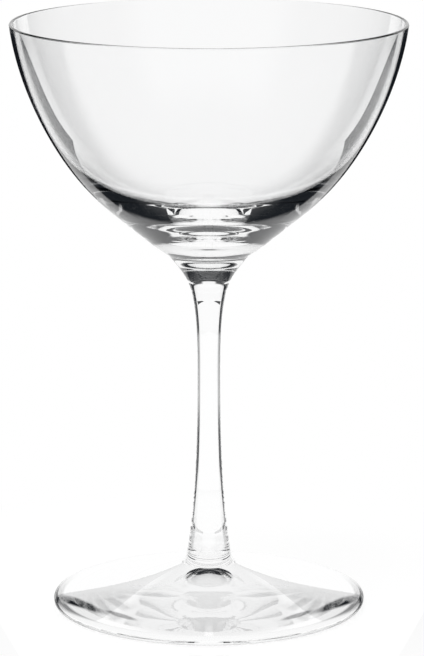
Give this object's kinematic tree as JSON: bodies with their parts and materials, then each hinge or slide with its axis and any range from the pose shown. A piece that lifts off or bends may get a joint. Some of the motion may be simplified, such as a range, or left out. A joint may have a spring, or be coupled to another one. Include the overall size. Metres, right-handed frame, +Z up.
{
  "type": "martini glass",
  "caption": "Clear stemmed cocktail glass: thin coupe bowl with a thick solid base, slim waisted stem and a wide round foot, for cold mixed drinks.",
  "frame": {"origin": "centre of the foot, on the plane that its rest ring stands on", "axes": "+Z up along the axis of the glass, +X to the right and +Y to the back; the glass is the same all round"},
  "size_m": [0.1096, 0.1096, 0.1648],
  "materials": {
    "bowl_crystal": "fire-polished clear crystal",
    "stem_crystal": "fire-polished clear crystal",
    "foot_crystal": "fire-polished clear crystal"
  },
  "bodies": {
    "root": {"bowl": "bowl_crystal", "stem": "stem_crystal", "foot": "foot_crystal"}
  },
  "joints": []
}
